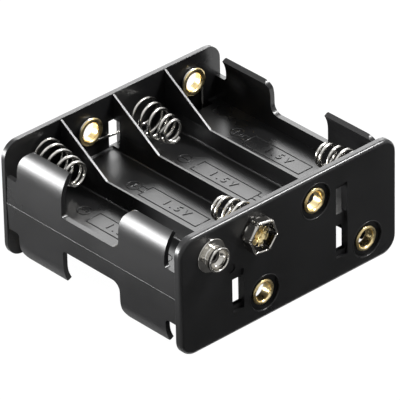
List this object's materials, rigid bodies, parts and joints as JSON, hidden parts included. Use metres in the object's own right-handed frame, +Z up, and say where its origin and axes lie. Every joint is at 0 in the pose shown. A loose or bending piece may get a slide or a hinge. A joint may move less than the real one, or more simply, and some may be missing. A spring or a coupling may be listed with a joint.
{
  "type": "battery holder",
  "caption": "Moulded double-sided holder for AA cells in series, with coil spring contacts, hollow brass eyelets and a pair of snap terminals on one end wall.",
  "frame": {"origin": "centre of the bounding box, on the plane that the holder stands on", "axes": "+X across the cells, +Y along them from the end wall with the snap terminals to the other, +Z up"},
  "size_m": [0.0632, 0.0598, 0.0288],
  "materials": {
    "plastic": "satin black",
    "spring_wire": "nickel plated",
    "brass": "bright",
    "nickel": "bright nickel plate"
  },
  "bodies": {
    "holder": {"holder_body": "plastic", "upper_2_rear_eyelet": "brass", "upper_3_front_eyelet": "brass", "upper_4_rear_eyelet": "brass", "lower_1_rear_eyelet": "brass", "lower_2_front_eyelet": "brass", "lower_3_rear_eyelet": "brass", "lower_4_front_eyelet": "brass", "stud_terminal": "nickel", "socket_terminal": "nickel", "stud_rivet": "nickel", "socket_rivet": "brass"},
    "upper_1_rear_contact": {"upper_1_rear_spring": "spring_wire"},
    "upper_2_front_contact": {"upper_2_front_spring": "spring_wire"},
    "upper_3_rear_contact": {"upper_3_rear_spring": "spring_wire"},
    "upper_4_front_contact": {"upper_4_front_spring": "spring_wire"},
    "lower_1_front_contact": {"lower_1_front_spring": "spring_wire"},
    "lower_2_rear_contact": {"lower_2_rear_spring": "spring_wire"},
    "lower_3_front_contact": {"lower_3_front_spring": "spring_wire"},
    "lower_4_rear_contact": {"lower_4_rear_spring": "spring_wire"}
  },
  "joints": [
    {"name": "upper_1_rear_press", "type": "slide", "parent": "holder", "child": "upper_1_rear_contact", "axis": [0, 1, 0], "range_m": [0, 0.006], "stiffness_N_per_m": 800, "deforming": ["upper_1_rear_spring"]},
    {"name": "upper_2_front_press", "type": "slide", "parent": "holder", "child": "upper_2_front_contact", "axis": [0, -1, 0], "range_m": [0, 0.006], "stiffness_N_per_m": 800, "deforming": ["upper_2_front_spring"]},
    {"name": "upper_3_rear_press", "type": "slide", "parent": "holder", "child": "upper_3_rear_contact", "axis": [0, 1, 0], "range_m": [0, 0.006], "stiffness_N_per_m": 800, "deforming": ["upper_3_rear_spring"]},
    {"name": "upper_4_front_press", "type": "slide", "parent": "holder", "child": "upper_4_front_contact", "axis": [0, -1, 0], "range_m": [0, 0.006], "stiffness_N_per_m": 800, "deforming": ["upper_4_front_spring"]},
    {"name": "lower_1_front_press", "type": "slide", "parent": "holder", "child": "lower_1_front_contact", "axis": [0, -1, 0], "range_m": [0, 0.006], "stiffness_N_per_m": 800, "deforming": ["lower_1_front_spring"]},
    {"name": "lower_2_rear_press", "type": "slide", "parent": "holder", "child": "lower_2_rear_contact", "axis": [0, 1, 0], "range_m": [0, 0.006], "stiffness_N_per_m": 800, "deforming": ["lower_2_rear_spring"]},
    {"name": "lower_3_front_press", "type": "slide", "parent": "holder", "child": "lower_3_front_contact", "axis": [0, -1, 0], "range_m": [0, 0.006], "stiffness_N_per_m": 800, "deforming": ["lower_3_front_spring"]},
    {"name": "lower_4_rear_press", "type": "slide", "parent": "holder", "child": "lower_4_rear_contact", "axis": [0, 1, 0], "range_m": [0, 0.006], "stiffness_N_per_m": 800, "deforming": ["lower_4_rear_spring"]}
  ]
}
